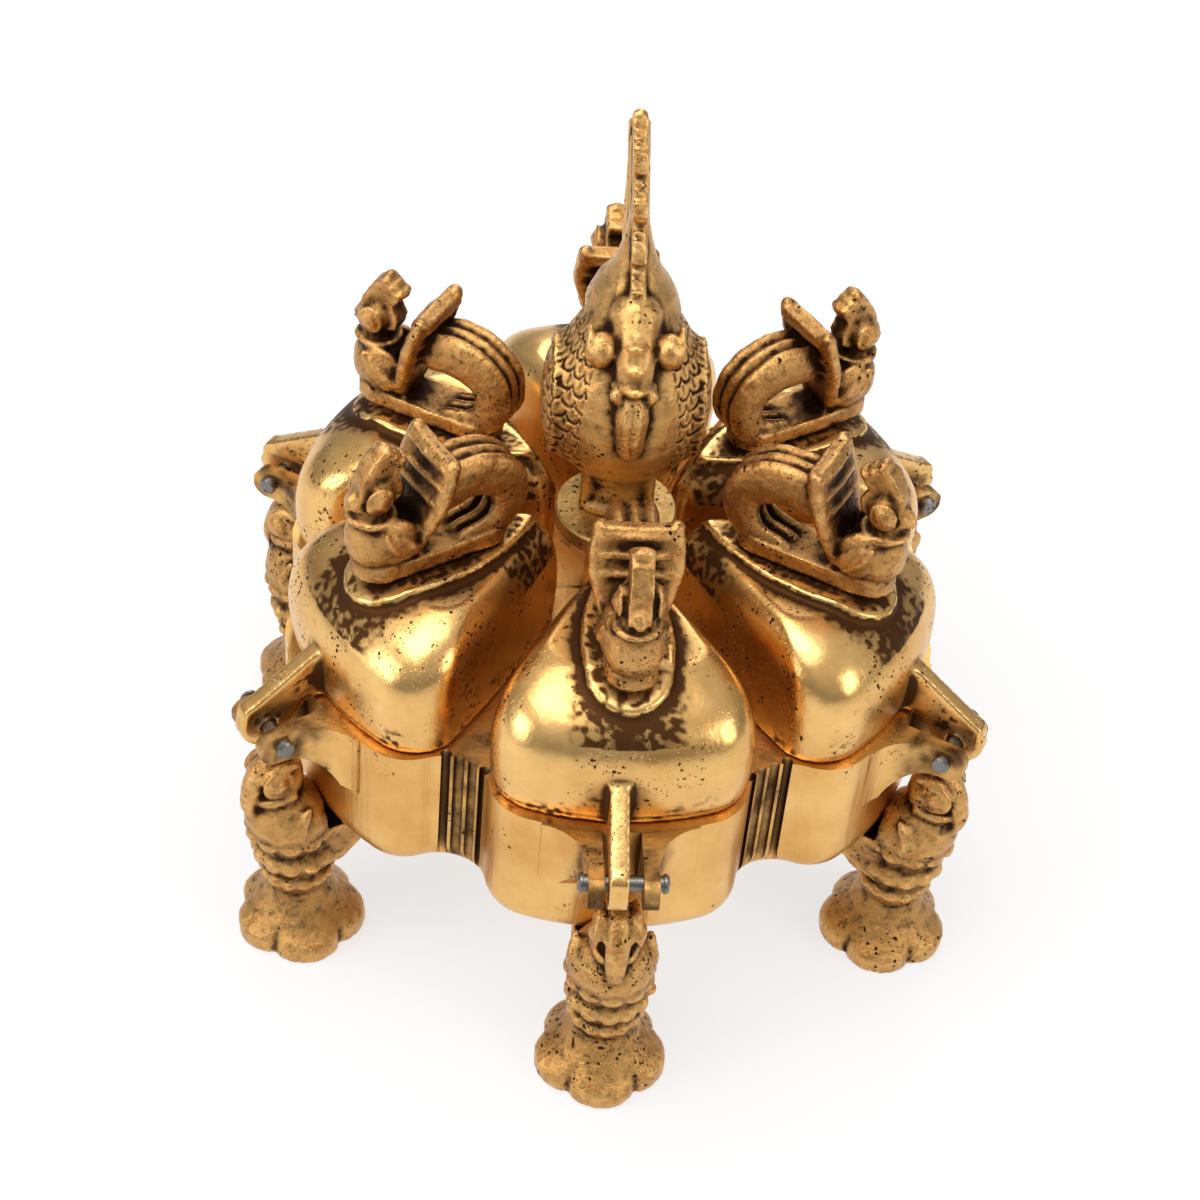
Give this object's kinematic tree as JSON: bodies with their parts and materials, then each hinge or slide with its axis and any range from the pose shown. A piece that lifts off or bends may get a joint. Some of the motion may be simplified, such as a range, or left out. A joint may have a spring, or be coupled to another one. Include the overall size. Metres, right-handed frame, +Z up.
{
  "type": "sindoor box",
  "caption": "Six-lobed cast brass powder box with hinged petal lids, a bird on each lid, a peacock finial and bird-headed cast legs.",
  "frame": {"origin": "on the floor under the middle of the tray, at the centre of the feet's circle", "axes": "+Z up; the front lobe and the peacock's face point to -Y; +X to the right"},
  "size_m": [0.1532, 0.1738, 0.175],
  "materials": {
    "bright_brass": "polished, worn, with dark patina in the recesses",
    "antique_brass": "antique brown with rubbed high spots",
    "pin_steel": "dull grey, peened ends"
  },
  "bodies": {
    "box": {"body": "bright_brass", "finial_disc": "antique_brass", "finial_nut": "antique_brass", "peacock": "antique_brass", "leg_rivets": "bright_brass", "hinge_pin_front": "pin_steel", "hinge_pin_front_right": "pin_steel", "hinge_pin_back_right": "pin_steel", "hinge_pin_back": "pin_steel", "hinge_pin_back_left": "pin_steel", "hinge_pin_front_left": "pin_steel", "leg_front": "antique_brass", "leg_front_right": "antique_brass", "leg_back_right": "antique_brass", "leg_back": "antique_brass", "leg_back_left": "antique_brass", "leg_front_left": "antique_brass"},
    "lid_front": {"lid_front": "bright_brass", "lid_bird_front": "antique_brass"},
    "lid_front_right": {"lid_front_right": "bright_brass", "lid_bird_front_right": "antique_brass"},
    "lid_back_right": {"lid_back_right": "bright_brass", "lid_bird_back_right": "antique_brass"},
    "lid_back": {"lid_back": "bright_brass", "lid_bird_back": "antique_brass"},
    "lid_back_left": {"lid_back_left": "bright_brass", "lid_bird_back_left": "antique_brass"},
    "lid_front_left": {"lid_front_left": "bright_brass", "lid_bird_front_left": "antique_brass"}
  },
  "joints": [
    {"name": "lid_front_hinge", "type": "hinge", "parent": "box", "child": "lid_front", "pos_m": [0, -0.08, 0.0622], "axis": [1, 0, 0], "range_deg": [0, 105]},
    {"name": "lid_front_right_hinge", "type": "hinge", "parent": "box", "child": "lid_front_right", "pos_m": [0.06928, -0.04, 0.0622], "axis": [0.5, 0.866, 0], "range_deg": [0, 105]},
    {"name": "lid_back_right_hinge", "type": "hinge", "parent": "box", "child": "lid_back_right", "pos_m": [0.06928, 0.04, 0.0622], "axis": [-0.5, 0.866, 0], "range_deg": [0, 105]},
    {"name": "lid_back_hinge", "type": "hinge", "parent": "box", "child": "lid_back", "pos_m": [0, 0.08, 0.0622], "axis": [-1, 0, 0], "range_deg": [0, 105]},
    {"name": "lid_back_left_hinge", "type": "hinge", "parent": "box", "child": "lid_back_left", "pos_m": [-0.06928, 0.04, 0.0622], "axis": [-0.5, -0.866, 0], "range_deg": [0, 105]},
    {"name": "lid_front_left_hinge", "type": "hinge", "parent": "box", "child": "lid_front_left", "pos_m": [-0.06928, -0.04, 0.0622], "axis": [0.5, -0.866, 0], "range_deg": [0, 105]}
  ]
}
